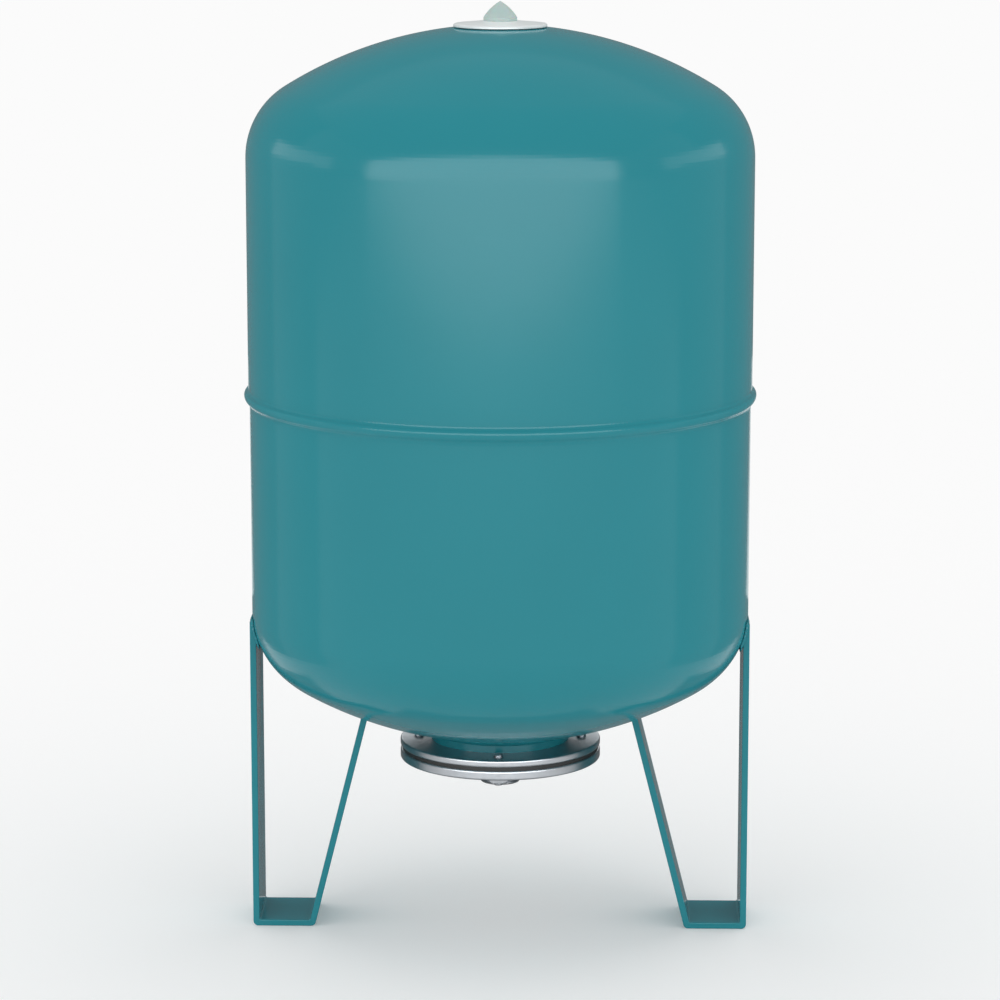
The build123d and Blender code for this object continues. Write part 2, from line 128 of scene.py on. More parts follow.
def spread(material, value, low, high):
    """Stretch a 0 to 1 value to the range from low to high."""
    node = add_node(material, "ShaderNodeMapRange", To_Min=low, To_Max=high)
    wire(material, value, node.inputs["Value"])
    return node.outputs["Result"]


def blend_colours(material, value, dark, light):
    """A colour that runs from dark to light with a value."""
    node = add_node(material, "ShaderNodeMix", data_type="RGBA")
    factor, first, second = node.inputs[0], node.inputs[6], node.inputs[7]
    first.default_value = (*dark, 1.0)
    second.default_value = (*light, 1.0)
    wire(material, value, factor)
    return node.outputs[2]


def add_bump(material, height, depth_mm):
    """Relief of a real depth in millimetres, from a 0 to 1 height, over any relief already there."""
    node = add_node(material, "ShaderNodeBump", Strength=1.0, Distance=depth_mm / 1000)
    wire(material, height, node.inputs["Height"])
    normal = material.node_tree.nodes["Principled BSDF"].inputs["Normal"]
    if normal.is_linked:
        wire(material, normal.links[0].from_socket, node.inputs["Normal"])
    wire(material, node.outputs["Normal"], normal)


def mottled_finish(name, dark, light, low, high, cloud, veil, relief=(), metallic=0.0, **sockets):
    """A finish that drifts from a dark to a light colour with the cloud, and from a low to a high roughness
    with the veil. Both are noises, given by scale and detail. Each relief adds its depth in millimetres."""
    material, shader = new_finish(name, light, low, metallic, **sockets)
    colour = blend_colours(material, noise(material, *cloud), dark, light)
    wire(material, colour, shader.inputs["Base Color"])
    wire(material, spread(material, noise(material, *veil), low, high), shader.inputs["Roughness"])
    for size, detail, depth_mm in relief:
        add_bump(material, noise(material, size, detail), depth_mm)
    print("finish made:", name)
    return material


# %% [markdown]
# Teal enamel. The real tank is sprayed and stoved, so the coat is even, semi-gloss and a little rippled,
# like the skin of an orange. The ripple is relief in the shader: it is a hundredth of a millimetre deep,
# far below what a mesh should carry. A slow swell of the pressed steel, ten times as deep, lies under it.
# A picture of paint could be wrapped round the tank instead, but it would show a seam and stretch over the
# domes. Noise that reads the place in space has neither fault.

# %% Paint
paint_colour = (0.0235, 0.262, 0.311)
paint_shade = 0.96
paint_darker = tuple(channel * paint_shade for channel in paint_colour)
paint_lighter = tuple(channel / paint_shade for channel in paint_colour)
steel_swell = (14.0, 1.0, 0.10)
orange_peel = (380.0, 2.0, 0.010)

paint = mottled_finish(
    "teal_enamel", paint_darker, paint_lighter, 0.13, 0.18, cloud=(9.0, 3.0), veil=(900.0, 3.0),
    relief=(steel_swell, orange_peel), Specular_IOR_Level=0.225)

# %% [markdown]
# Zinc plate. The flange and the crown plate are pressed from sheet and plated. Plated zinc is a mirror with
# a veil: fairly low roughness and faint clouds where the bath ran thicker. Out in the air it grows a white
# bloom, and the crown plate, which faces the sky, has most of it: there little bare metal still shows.
# So one recipe makes all three zincs, and only its colours, its roughness and its share of metal differ.

# %% Zinc plate
zinc_shadow = (0.38, 0.40, 0.43)
zinc_colour = (0.47, 0.49, 0.51)
bloom_shadow = (0.86, 0.91, 0.91)
bloom_colour = (0.92, 0.96, 0.96)
bloomed_metal = 0.1


def make_zinc(name, dark, light, low, high, metallic=1.0):
    """Plated sheet, clouded by the bath and very finely grained."""
    return mottled_finish(name, dark, light, low, high, cloud=(60.0, 4.0, 0.6), veil=(240.0, 4.0),
                          relief=[(500.0, 2.0, 0.006)], metallic=metallic)


bright_zinc = make_zinc("bright_zinc", zinc_shadow, zinc_colour, 0.26, 0.40)
satin_zinc = make_zinc("satin_zinc", zinc_shadow, zinc_colour, 0.30, 0.46)
pale_zinc = make_zinc("pale_zinc", bloom_shadow, bloom_colour, 0.30, 0.46, bloomed_metal)

# %% [markdown]
# Rubber, plastic, brass, copper and bare steel. Rubber is nearly black and matt with a moulded grain. The
# cap is soft polythene: light goes a little way in and comes out again, which subsurface scattering gives.
# The valve is turned, so its marks run round the axis: a wave that reads the distance from it makes them.


# %% Rubber, plastic and the small metals
lathe_ring_depth_mm = 0.004


def make_turned_metal(name, dark, light, low, high):
    """Metal with fine lathe rings round the tank's axis."""
    tarnish = (300.0, 3.0)
    material = mottled_finish(name, dark, light, low, high, cloud=tarnish, veil=tarnish, metallic=1.0)
    rings = add_node(material, "ShaderNodeTexWave", Scale=900.0, Distortion=0.4, wave_type="RINGS",
                     rings_direction="Z")
    wire(material, object_place(material), rings.inputs["Vector"])
    add_bump(material, rings.outputs["Fac"], lathe_ring_depth_mm)
    return material


rubber = mottled_finish(
    "black_rubber", (0.013, 0.014, 0.014), (0.026, 0.028, 0.028), 0.48, 0.66, cloud=(150.0, 4.0),
    veil=(150.0, 4.0), relief=[(1400.0, 3.0, 0.02)], Specular_IOR_Level=0.4)
cap_plastic = mottled_finish(
    "cap_polythene", (0.49, 0.60, 0.58), (0.53, 0.64, 0.62), 0.36, 0.50, cloud=(220.0, 2.0),
    veil=(220.0, 2.0), relief=[(1600.0, 2.0, 0.008)], Subsurface_Weight=0.35, Subsurface_Scale=0.004,
    Specular_IOR_Level=0.4)
brass = make_turned_metal("turned_brass", (0.60, 0.42, 0.17), (0.78, 0.58, 0.28), 0.20, 0.34)
copper = make_turned_metal("soft_copper", (0.60, 0.28, 0.18), (0.76, 0.40, 0.28), 0.28, 0.42)
bare_steel = make_turned_metal("bare_steel", (0.36, 0.36, 0.38), (0.48, 0.48, 0.50), 0.26, 0.40)

# %% [markdown]
# Most of this tank is turned or drawn round one axis, so one Geometry Nodes tree makes every such piece.
# Its input is the piece's outline, drawn once beside the axis as a row of points. The tree copies the
# row round the axis as a grid, bends the grid into a ring and welds the last copy to the first.
# Three rules may change the radius on the way: a small wave gives a weld bead its ripples, a hexagon cuts
# the flats of a nut, and a helical tooth cuts a thread. A Screw modifier could turn the outline too, but it
# knows none of these rules.


# %% Helpers for node trees
def new_tree(name, **inputs):
    """An empty geometry tree with one geometry output, and its inputs by label and kind."""
    tree = bpy.data.node_groups.new(name, "GeometryNodeTree")
    for label, kind in inputs.items():
        label = label.replace("_", " ")
        tree.interface.new_socket(name=label, in_out="INPUT", socket_type="NodeSocket" + kind)
    tree.interface.new_socket(name="Geometry", in_out="OUTPUT", socket_type="NodeSocketGeometry")
    return tree, tree.nodes.new("NodeGroupInput").outputs, tree.nodes.new("NodeGroupOutput")


def feed(tree, target, value):
    """Give an input its value: a link from a socket, or a plain number."""
    if isinstance(value, bpy.types.NodeSocket):
        tree.links.new(value, target)
    else:
        target.default_value = value


def calc(tree, operation, first, second=0.0):
    """One arithmetic step."""
    node = tree.nodes.new("ShaderNodeMath")
    node.operation = operation
    feed(tree, node.inputs[0], first)
    feed(tree, node.inputs[1], second)
    return node.outputs[0]


def step(tree, kind, outlet=0, **values):
    """A geometry node with its inputs fed by name; settings that aren't inputs are set as attributes."""
    node = tree.nodes.new(kind)
    for key, value in values.items():
        label = key.replace("_", " ")
        if label in node.inputs:
            feed(tree, node.inputs[label], value)
        else:
            setattr(node, key, value)
    return node.outputs[outlet]


def finish_tree(tree, group_out, geometry, material):
    """Every tree ends in real geometry that carries its finish."""
    real = step(tree, "GeometryNodeRealizeInstances", Geometry=geometry)
    dressed = step(tree, "GeometryNodeSetMaterial", Geometry=real, Material=material)
    feed(tree, group_out.inputs["Geometry"], dressed)


def vector_of(tree, x, y, z):
    """Three numbers as one place."""
    return step(tree, "ShaderNodeCombineXYZ", X=x, Y=y, Z=z)


def blend_range(tree, value, low, high):
    """Soft step: 0 below low, 1 above high."""
    return step(tree, "ShaderNodeMapRange", "Result", interpolation_type="SMOOTHSTEP", Value=value,
                From_Min=low, From_Max=high)


# %% The tree that turns an outline round the axis
join_distance = 2e-6
no_hexagon = 1e-6
thread_crest = 0.08
thread_root = 0.92
thread_run_out_turns = 0.8


def hexagon_limit(tree, angle, half_width):
    """Distance from the axis to the side of a hexagon with its corners at 0, 60, 120 degrees and so on.
    A half width of zero means no hexagon."""
    sixth = calc(tree, "SUBTRACT", calc(tree, "FLOORED_MODULO", angle, pi / 3), pi / 6)
    side = calc(tree, "DIVIDE", half_width, calc(tree, "COSINE", sixth))
    absent = calc(tree, "LESS_THAN", half_width, no_hexagon)
    return calc(tree, "ADD", side, absent)


def thread_cut(tree, angle, radius, height, pitch, depth, low, high):
    """Depth of a rounded V thread at a place, and nothing beyond both ends; the caller keeps it off places
    inside the crest radius. The radius is not used.
    """
    turned = calc(tree, "DIVIDE", angle, 2 * pi)
    turns = calc(tree, "SUBTRACT", calc(tree, "DIVIDE", height, pitch), turned)
    phase = calc(tree, "FRACT", turns)
    slope = calc(tree, "ABSOLUTE", calc(tree, "SUBTRACT", calc(tree, "MULTIPLY", phase, 2.0), 1.0))
    tooth = blend_range(tree, slope, thread_crest, thread_root)
    run_out = calc(tree, "MULTIPLY", pitch, thread_run_out_turns)
    lead_in = blend_range(tree, height, low, calc(tree, "ADD", low, run_out))
    lead_out = blend_range(tree, height, high, calc(tree, "SUBTRACT", high, run_out))
    here = calc(tree, "MULTIPLY", lead_in, lead_out)
    return calc(tree, "MULTIPLY", calc(tree, "MULTIPLY", tooth, depth), here)


def make_turning_tree():
    tree, given, result = new_tree(
        "turned_form", Outline="Geometry", Segments="Int", Closed_Loop="Int", Ripples="Int",
        Ripple_Height="Float", Half_Width="Float", Thread_Pitch="Float", Thread_Depth="Float",
        Thread_Low="Float", Thread_High="Float", Crest_Radius="Float", Material="Material")
    segments = given["Segments"]
    count = step(tree, "GeometryNodeAttributeDomainSize", Geometry=given["Outline"])
    rows = calc(tree, "ADD", count, given["Closed Loop"])
    grid = step(tree, "GeometryNodeMeshGrid", Vertices_X=calc(tree, "ADD", segments, 1.0), Vertices_Y=rows)
    index = step(tree, "GeometryNodeInputIndex")
    column = calc(tree, "FLOOR", calc(tree, "DIVIDE", calc(tree, "ADD", index, 0.5), rows))
    row = calc(tree, "SUBTRACT", index, calc(tree, "MULTIPLY", column, rows))
    place = step(tree, "GeometryNodeInputPosition")
    corner = step(tree, "GeometryNodeSampleIndex", data_type="FLOAT_VECTOR", Geometry=given["Outline"],
                  Value=place, Index=calc(tree, "MODULO", row, count))
    drawn = step(tree, "ShaderNodeSeparateXYZ", "X", Vector=corner)
    height = step(tree, "ShaderNodeSeparateXYZ", "Z", Vector=corner)
    angle = calc(tree, "DIVIDE", calc(tree, "MULTIPLY", column, 2 * pi), segments)
    wave = calc(tree, "SINE", calc(tree, "MULTIPLY", angle, given["Ripples"]))
    rippled = calc(tree, "ADD", drawn, calc(tree, "MULTIPLY", wave, given["Ripple Height"]))
    flat = calc(tree, "MINIMUM", rippled, hexagon_limit(tree, angle, given["Half Width"]))
    cut = thread_cut(tree, angle, drawn, height, given["Thread Pitch"], given["Thread Depth"],
                     given["Thread Low"], given["Thread High"])
    on_crest = calc(tree, "GREATER_THAN", drawn, given["Crest Radius"])
    radius = calc(tree, "SUBTRACT", flat, calc(tree, "MULTIPLY", cut, on_crest))
    turned = vector_of(
        tree,
        calc(tree, "MULTIPLY", radius, calc(tree, "COSINE", angle)),
        calc(tree, "MULTIPLY", radius, calc(tree, "SINE", angle)),
        height,
    )
    bent = step(tree, "GeometryNodeSetPosition", Geometry=grid, Position=turned)
    welded = step(tree, "GeometryNodeMergeByDistance", Geometry=bent, Distance=join_distance)
    smooth = step(tree, "GeometryNodeSetShadeSmooth", Geometry=welded)
    finish_tree(tree, result, smooth, given["Material"])
    return tree


turning_tree = make_turning_tree()
print("turning tree:", len(turning_tree.nodes), "nodes")


# %% Outlines, and running a tree into a plain mesh
plain_sharp_angle = 28.0
rippled_sharp_angle = 60.0
supports_apart = 6
cm3_in_a_m3 = 1e6


def swung(arm, turn):
    """A flat arm turned about its foot."""
    return Vector((arm.x * cos(turn) - arm.y * sin(turn), arm.x * sin(turn) + arm.y * cos(turn)))


def outline(corners, arc_steps=6, support=0.00015, closed=True):
    """Row of (radius, height) points from corners (r, z) or (r, z, fillet), with a point close to each bend
    on long straights, so that smooth shading stays in the bend. An outline that isn't closed starts and
    ends on the axis."""
    loop = []
    for i, corner in enumerate(corners):
        here = Vector(corner[:2])
        before = (Vector(corners[i - 1][:2]) - here).normalized()
        after = (Vector(corners[(i + 1) % len(corners)][:2]) - here).normalized()
        fillet = corner[2] if len(corner) > 2 else 0.0
        if fillet == 0.0:
            loop.append(here)
            continue
        half = before.angle(after) / 2
        reach = fillet * cos(half) / sin(half)
        centre = here + (before + after).normalized() * fillet / sin(half)
        start = here + before * reach - centre
        end = here + after * reach - centre
        sweep = start.angle_signed(end)
        loop.extend(centre + swung(start, -sweep * k / arc_steps) for k in range(arc_steps + 1))
    supported = []
    for i, here in enumerate(loop):
        following = loop[(i + 1) % len(loop)]
        span = following - here
        supported.append(here)
        last_on_axis = not closed and i == len(loop) - 1
        if span.length > supports_apart * support and not last_on_axis:
            supported.append(here + span.normalized() * support)
            supported.append(following - span.normalized() * support)
    return supported


def outline_mesh(name, points):
    """The outline as a mesh of points, which the turning tree reads in order."""
    mesh = bpy.data.meshes.new(name)
    mesh.from_pydata([(p[0], 0.0, p[1]) for p in points], [], [])
    return mesh


def face_outwards(mesh):
    """Turn a closed mesh the right way out; give its volume in cubic centimetres and its open edges."""
    work = bmesh.new()
    work.from_mesh(mesh)
    volume = work.calc_volume(signed=True)
    if volume < 0:
        bmesh.ops.reverse_faces(work, faces=work.faces)
        work.to_mesh(mesh)
    open_edges = sum(1 for edge in work.edges if not edge.is_manifold)
    work.free()
    return abs(volume) * cm3_in_a_m3, open_edges


def run_tree(name, mesh, tree, sharp_angle=plain_sharp_angle, **inputs):
    """Run a tree on a mesh, with its inputs by label, and keep the result as a plain mesh object."""
    values = {key.replace("_", " "): value for key, value in inputs.items()}
    source = bpy.data.objects.new(name + "_source", mesh)
    bpy.context.scene.collection.objects.link(source)
    modifier = source.modifiers.new("form", "NODES")
    modifier.node_group = tree
    for item in tree.interface.items_tree:
        if item.in_out == "INPUT" and item.name in values:
            modifier[item.identifier] = values[item.name]
    evaluated = source.evaluated_get(bpy.context.evaluated_depsgraph_get())
    made = bpy.data.meshes.new_from_object(evaluated)
    bpy.data.objects.remove(source)
    made.name = name
    volume, open_edges = face_outwards(made)
    made.set_sharp_from_angle(angle=radians(sharp_angle))
    piece = bpy.data.objects.new(name, made)
    bpy.context.scene.collection.objects.link(piece)
    print(name, len(made.polygons), "faces,", round(volume, 2), "cm3, open edges:", open_edges)
    return piece


def turned_piece(name, points, material, segments=192, closed=True, sharp_angle=plain_sharp_angle, **rules):
    """A piece turned round the tank's axis from its outline. Rules are inputs of the turning tree."""
    inputs = {"Segments": segments, "Closed_Loop": int(closed), "Material": material, "Thread_Pitch": 1.0}
    inputs.update(rules)
    return run_tree(name, outline_mesh(name + "_outline", points), turning_tree, sharp_angle, **inputs)


def arc_through(first, middle, last, steps):
    """Points on the arc through three (radius, height) points."""
    a, b, c = Vector(first), Vector(middle), Vector(last)
    twice_cross = 2 * (a.x * (b.y - c.y) + b.x * (c.y - a.y) + c.x * (a.y - b.y))
    squares = (a.length_squared, b.length_squared, c.length_squared)
    centre = Vector((
        (squares[0] * (b.y - c.y) + squares[1] * (c.y - a.y) + squares[2] * (a.y - b.y)) / twice_cross,
        (squares[0] * (c.x - b.x) + squares[1] * (a.x - c.x) + squares[2] * (b.x - a.x)) / twice_cross,
    ))
    start = a - centre
    sweep = start.angle_signed(c - centre)
    return [centre + swung(start, -sweep * k / steps) for k in range(steps + 1)]


def stand_for(piece, slot_name, *replaced, body="tank"):
    """Hide the frame nodes a piece stands for and hang it on its body. The slot name is not used."""
    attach(piece, body)
    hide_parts(*replaced)


# %% [markdown]
# The shells. Each is drawn from one steel disc on the same dome tool: a tight knuckle and a shallow
# crown, then a straight wall. A stretched sphere would come near, but the light shows where two arcs meet,
# so the arcs of the tool are drawn. The outline is the section through the sheet, outside and inside, and
# the mesh is closed and 1.5 mm thick like the real sheet.

# %% Dome sizes, read from the frame
dome_crown_radius = 0.322
dome_knuckle_radius = 0.064
sheet = 0.0015
shell_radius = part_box("upper_shell")[1].x
lower_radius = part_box("lower_shell")[1].x
seam_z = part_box("upper_shell")[0].z
boss_shoulder = 0.006
boss_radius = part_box("valve_boss")[1].x - boss_shoulder
neck_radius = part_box("neck_collar")[1].x


def crown_offset(wall_radius):
    """How far the crown's centre lies behind the end of the straight wall."""
    return sqrt((dome_crown_radius - dome_knuckle_radius) ** 2 - (wall_radius - dome_knuckle_radius) ** 2)


def crown_rise(radius, wall_radius):
    """Height of the outer crown above the end of the straight wall, at a distance from the axis."""
    return sqrt(dome_crown_radius ** 2 - radius ** 2) - crown_offset(wall_radius)


upper_tangent_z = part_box("upper_shell")[1].z - crown_rise(boss_radius, shell_radius)
lower_tangent_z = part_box("lower_shell")[0].z + crown_rise(neck_radius, lower_radius)
print("walls end at", round(lower_tangent_z * 1000, 1), "and", round(upper_tangent_z * 1000, 1), "mm")


# %% Domes as points
def dome_points(wall_radius, tangent_z, up, inset, hole, knuckle_steps=22, crown_steps=30):
    """Knuckle arc and crown arc from the straight wall to a hole round the axis."""
    knuckle_x = wall_radius - dome_knuckle_radius
    meet = asin(knuckle_x / (dome_crown_radius - dome_knuckle_radius))
    hole_angle = asin(hole / (dome_crown_radius - inset))
    centre_z = tangent_z - up * crown_offset(wall_radius)
    points = []
    for k in range(knuckle_steps + 1):
        angle = pi / 2 + (meet - pi / 2) * k / knuckle_steps
        reach = dome_knuckle_radius - inset
        points.append((knuckle_x + reach * sin(angle), tangent_z + up * reach * cos(angle)))
    for k in range(1, crown_steps + 1):
        angle = meet + (hole_angle - meet) * k / crown_steps
        reach = dome_crown_radius - inset
        points.append((reach * sin(angle), centre_z + up * reach * cos(angle)))
    return points


# %% Upper and lower shell
shell_segments = 256
joint_gap = 0.0002
joggle_length = 0.004
joggle_radius = shell_radius - sheet - joint_gap
rim_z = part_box("lower_shell")[1].z

upper_outer = dome_points(shell_radius, upper_tangent_z, 1, 0.0, boss_radius)
upper_inner = dome_points(shell_radius, upper_tangent_z, 1, sheet, boss_radius)
upper_points = outline(
    [(shell_radius, seam_z), *upper_outer, *reversed(upper_inner), (shell_radius - sheet, seam_z)])
upper_shell = turned_piece("upper_shell_drawn", upper_points, paint, shell_segments)
stand_for(upper_shell, "paint", "upper_shell")

lower_outer = dome_points(lower_radius, lower_tangent_z, -1, 0.0, neck_radius)
lower_inner = dome_points(lower_radius, lower_tangent_z, -1, sheet, neck_radius)
lower_points = outline([
    *reversed(lower_outer),
    (lower_radius, seam_z - joggle_length),
    (joggle_radius, seam_z),
    (joggle_radius, rim_z),
    (joggle_radius - sheet, rim_z),
    (joggle_radius - sheet, seam_z),
    (lower_radius - sheet, seam_z - joggle_length),
    *lower_inner,
])
lower_shell = turned_piece("lower_shell_drawn", lower_points, paint, shell_segments)
stand_for(lower_shell, "paint", "lower_shell")

# %% [markdown]
# The girth weld. One machine-laid bead closes the joint, so its ripples are even and fine. The bead is a
# low swell over the lap that runs out softly into both walls, so each side is two arcs: one leaves the
# wall, the other reaches the crest. Below, paint and weld run out a little further down the lower shell.
# The ripple is a wave round the tank, less than a tenth of a millimetre high.

# %% Girth bead
bead_low, bead_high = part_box("girth_weld")
bead_arc_steps = 9
bead_ripples = 340
bead_steps_a_ripple = 4
bead_ripple_height = 0.00006
bead_bite = 0.0008
bead_toe_drop = 0.0035
bead_foot_z = bead_low.z - bead_toe_drop
bead_crest = Vector((bead_high.x - bead_ripple_height, seam_z))


def bead_side(foot):
    """Points of one side of the bead, from its foot on the wall to its crest."""
    rise = bead_crest.x - foot.x
    reach = bead_crest.y - foot.y
    bend = (rise ** 2 + reach ** 2) / (4 * rise)
    way = reach / abs(reach)
    turns = [2 * atan2(rise, abs(reach)) * k / bead_arc_steps for k in range(bead_arc_steps + 1)]
    swell = [Vector((bend * (1 - cos(turn)), way * bend * sin(turn))) for turn in turns]
    return [foot + p for p in swell] + [bead_crest - p for p in reversed(swell[:-1])]


bead_lower_side = bead_side(Vector((lower_radius, bead_foot_z)))
bead_upper_side = bead_side(Vector((shell_radius, bead_high.z)))
bead_root = [Vector((lower_radius - bead_bite, z)) for z in (bead_high.z, bead_foot_z)]
bead_points = [*bead_lower_side, *reversed(bead_upper_side[:-1]), *bead_root]
girth_bead = turned_piece(
    "girth_bead", bead_points, paint, bead_ripples * bead_steps_a_ripple, sharp_angle=rippled_sharp_angle,
    Ripples=bead_ripples, Ripple_Height=bead_ripple_height)
stand_for(girth_bead, "paint", "girth_weld")

# %% [markdown]
# The neck. A thick steel collar is set through a hole in the lower dome and welded all round from below.
# The weld could be a plain ring in the corner, but a fillet weld bridges dome and collar with a slightly
# full face, so an arc is drawn between its two toes. It is laid by hand, so its ripples are coarser than
# those of the girth bead.

# %% Neck collar and its weld
collar_low, collar_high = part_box("neck_collar")
weld_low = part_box("neck_weld")[0]
weld_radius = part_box("neck_weld")[1].x
collar_wall = 0.006
collar_edge = 0.0006
flange_segments = 160
neck_ripples = 128
neck_steps_a_ripple = 6
neck_ripple_height = 0.00010
weld_throat = 0.0005
weld_arc_steps = 10

collar_points = outline([
    (neck_radius, collar_low.z),
    (neck_radius, collar_high.z, collar_edge),
    (neck_radius - collar_wall, collar_high.z, collar_edge),
    (neck_radius - collar_wall, collar_low.z, collar_edge),
])
collar = turned_piece("neck_collar_turned", collar_points, paint, flange_segments)
stand_for(collar, "paint", "neck_collar")

dome_at_weld = lower_tangent_z - crown_rise(weld_radius, lower_radius)
weld_toe = Vector((neck_radius, weld_low.z))
weld_heel = Vector((weld_radius - neck_ripple_height, dome_at_weld))
weld_out = Vector((1.0, -1.0)).normalized() * weld_throat
weld_arc = arc_through(weld_toe, (weld_toe + weld_heel) / 2 + weld_out, weld_heel, weld_arc_steps)
weld_bite = Vector((-0.001, 0.001))
weld_root = [Vector((weld_radius, dome_at_weld)) + weld_bite, weld_toe + weld_bite]
neck_weld = turned_piece(
    "neck_weld_laid", [*weld_arc, *weld_root], paint, neck_ripples * neck_steps_a_ripple,
    sharp_angle=rippled_sharp_angle, Ripples=neck_ripples, Ripple_Height=neck_ripple_height)
stand_for(neck_weld, "paint", "neck_weld")

# %% [markdown]
# The bolted flange. The backing flange is welded to the collar, the membrane's rubber lip lies under it,
# and the pressed counter flange clamps the lip with four M8 studs. Its rim is turned down to stiffen it.
# Bolt holes could be left out under the nuts, but the meshes are kept as parts too, so they are cut through
# the turned plates as they are on the real ones. One tree sets a hole, a stud, a washer or a nut round the
# bolt circle.


# %% The bolt circle
def make_bolt_circle_tree():
    tree, given, result = new_tree(
        "bolt_circle", Piece="Geometry", Count="Int", Radius="Float", Material="Material")
    count = given["Count"]
    places = step(tree, "GeometryNodeMeshCircle", Vertices=count, Radius=given["Radius"])
    index = step(tree, "GeometryNodeInputIndex")
    polar = calc(tree, "DIVIDE", calc(tree, "MULTIPLY", index, 2 * pi), count)
    copies = step(tree, "GeometryNodeInstanceOnPoints", Points=places, Instance=given["Piece"],
                  Rotation=vector_of(tree, 0.0, 0.0, polar))
    finish_tree(tree, result, copies, given["Material"])
    return tree


bolt_count = 4
drill_segments = 48
drill_overrun = 0.001
bolt_circle_tree = make_bolt_circle_tree()
washer_radius = 0.008
bolt_circle_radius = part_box("flange_washers")[1].x - washer_radius
print("bolt circle radius", round(bolt_circle_radius * 1000, 2), "mm,", bolt_count, "studs")


def round_the_circle(name, piece, material):
    """Copies of a piece on the bolt circle as one mesh; the first one is used up."""
    mesh = piece.data
    bpy.data.objects.remove(piece)
    return run_tree(name, mesh, bolt_circle_tree, Count=bolt_count, Radius=bolt_circle_radius,
                    Material=material)


def cut_away(piece, cutter):
    """Take the cutter's form out of the piece, and the cutter out of the scene."""
    modifier = piece.modifiers.new("cut", "BOOLEAN")
    modifier.operation = "DIFFERENCE"
    modifier.solver = "EXACT"
    modifier.object = cutter
    evaluated = piece.evaluated_get(bpy.context.evaluated_depsgraph_get())
    cut = bpy.data.meshes.new_from_object(evaluated)
    piece.modifiers.clear()
    piece.data = cut
    bpy.data.objects.remove(cutter)
    cut.set_sharp_from_angle(angle=radians(plain_sharp_angle))
    volume, open_edges = face_outwards(cut)
    print(piece.name, "cut:", len(cut.polygons), "faces,", round(volume, 2), "cm3, open edges:", open_edges)


def bolt_drill(radius, bottom, top):
    """A drill for every bolt hole at once, a little longer than the plate is thick."""
    low, high = bottom - drill_overrun, top + drill_overrun
    corners = [(0.0, low), (radius, low), (radius, high), (0.0, high)]
    drill = turned_piece("drill", corners, bright_zinc, drill_segments, closed=False)
    return round_the_circle("bolt_drill", drill, bright_zinc)


# %% Backing flange and counter flange
flange_low, flange_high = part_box("backing_flange")
counter_low, counter_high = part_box("counter_flange")
flange_radius = flange_high.x
flange_edge = 0.0015
backing_hole = 0.0041
counter_hole = 0.0045
counter_thickness = 0.004
counter_rim_height = 0.0075
counter_rim_edge = 0.0006
cone_radius = 0.046
cone_floor = 0.024
cone_bend = 0.0015
inlet_radius = 0.01662
counter_under_z = counter_high.z - counter_thickness
counter_rim_z = counter_high.z - counter_rim_height
rim_inner_radius = flange_radius - counter_thickness
cone_slope = atan2(counter_under_z - counter_low.z, cone_radius - cone_floor)
cone_shift = counter_thickness * sin(cone_slope / 2) / cos(cone_slope / 2)

backing_points = outline([
    (neck_radius, flange_low.z),
    (flange_radius, flange_low.z, flange_edge),
    (flange_radius, flange_high.z, flange_edge),
    (neck_radius, flange_high.z),
])
backing = turned_piece("backing_flange_turned", backing_points, bright_zinc, flange_segments)
cut_away(backing, bolt_drill(backing_hole, flange_low.z, flange_high.z))
stand_for(backing, "zinc", "backing_flange")

counter_points = outline([
    (inlet_radius, counter_low.z),
    (cone_floor, counter_low.z, cone_bend),
    (cone_radius, counter_under_z, cone_bend),
    (rim_inner_radius, counter_under_z, cone_bend),
    (rim_inner_radius, counter_rim_z, counter_rim_edge),
    (flange_radius, counter_rim_z, flange_edge),
    (flange_radius, counter_high.z, flange_edge),
    (cone_radius - cone_shift, counter_high.z, cone_bend),
    (cone_floor - cone_shift, counter_low.z + counter_thickness, cone_bend),
    (inlet_radius, counter_low.z + counter_thickness),
])
counter = turned_piece("counter_flange_pressed", counter_points, bright_zinc, flange_segments)
cut_away(counter, bolt_drill(counter_hole, counter_under_z, counter_high.z))
stand_for(counter, "zinc", "counter_flange")

# %% [markdown]
# The inlet is a one-inch pipe nipple. Its thread has eleven turns to the inch and runs out at both ends,
# as a thread cut on a lathe or with a die does. A pipe thread seals on its flanks, and its crests and roots
# are rounded. Relief in the material could fake the thread, but its teeth stand out at the edge of the
# nipple, so the turning tree cuts them into the mesh.

# %% Inlet nipple
inlet_low, inlet_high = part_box("inlet_nipple")
inlet_bore = 0.0125
inlet_collar = inlet_high.x
inlet_collar_height = 0.0025
inlet_chamfer = 0.0012
inlet_edge = 0.0004
inlet_collar_edge = 0.0006
inlet_segments = 144
inlet_pitch = 0.0254 / 11
inlet_thread_depth = 0.00148
thread_rows_a_turn = 10
thread_top_z = counter_low.z - inlet_collar_height


def thread_rows(radius, low, high, pitch):
    """Evenly spaced points up a thread, close enough to carry its teeth."""
    count = round((high - low) / pitch * thread_rows_a_turn)
    return [(radius, low + (high - low) * k / count) for k in range(count + 1)]


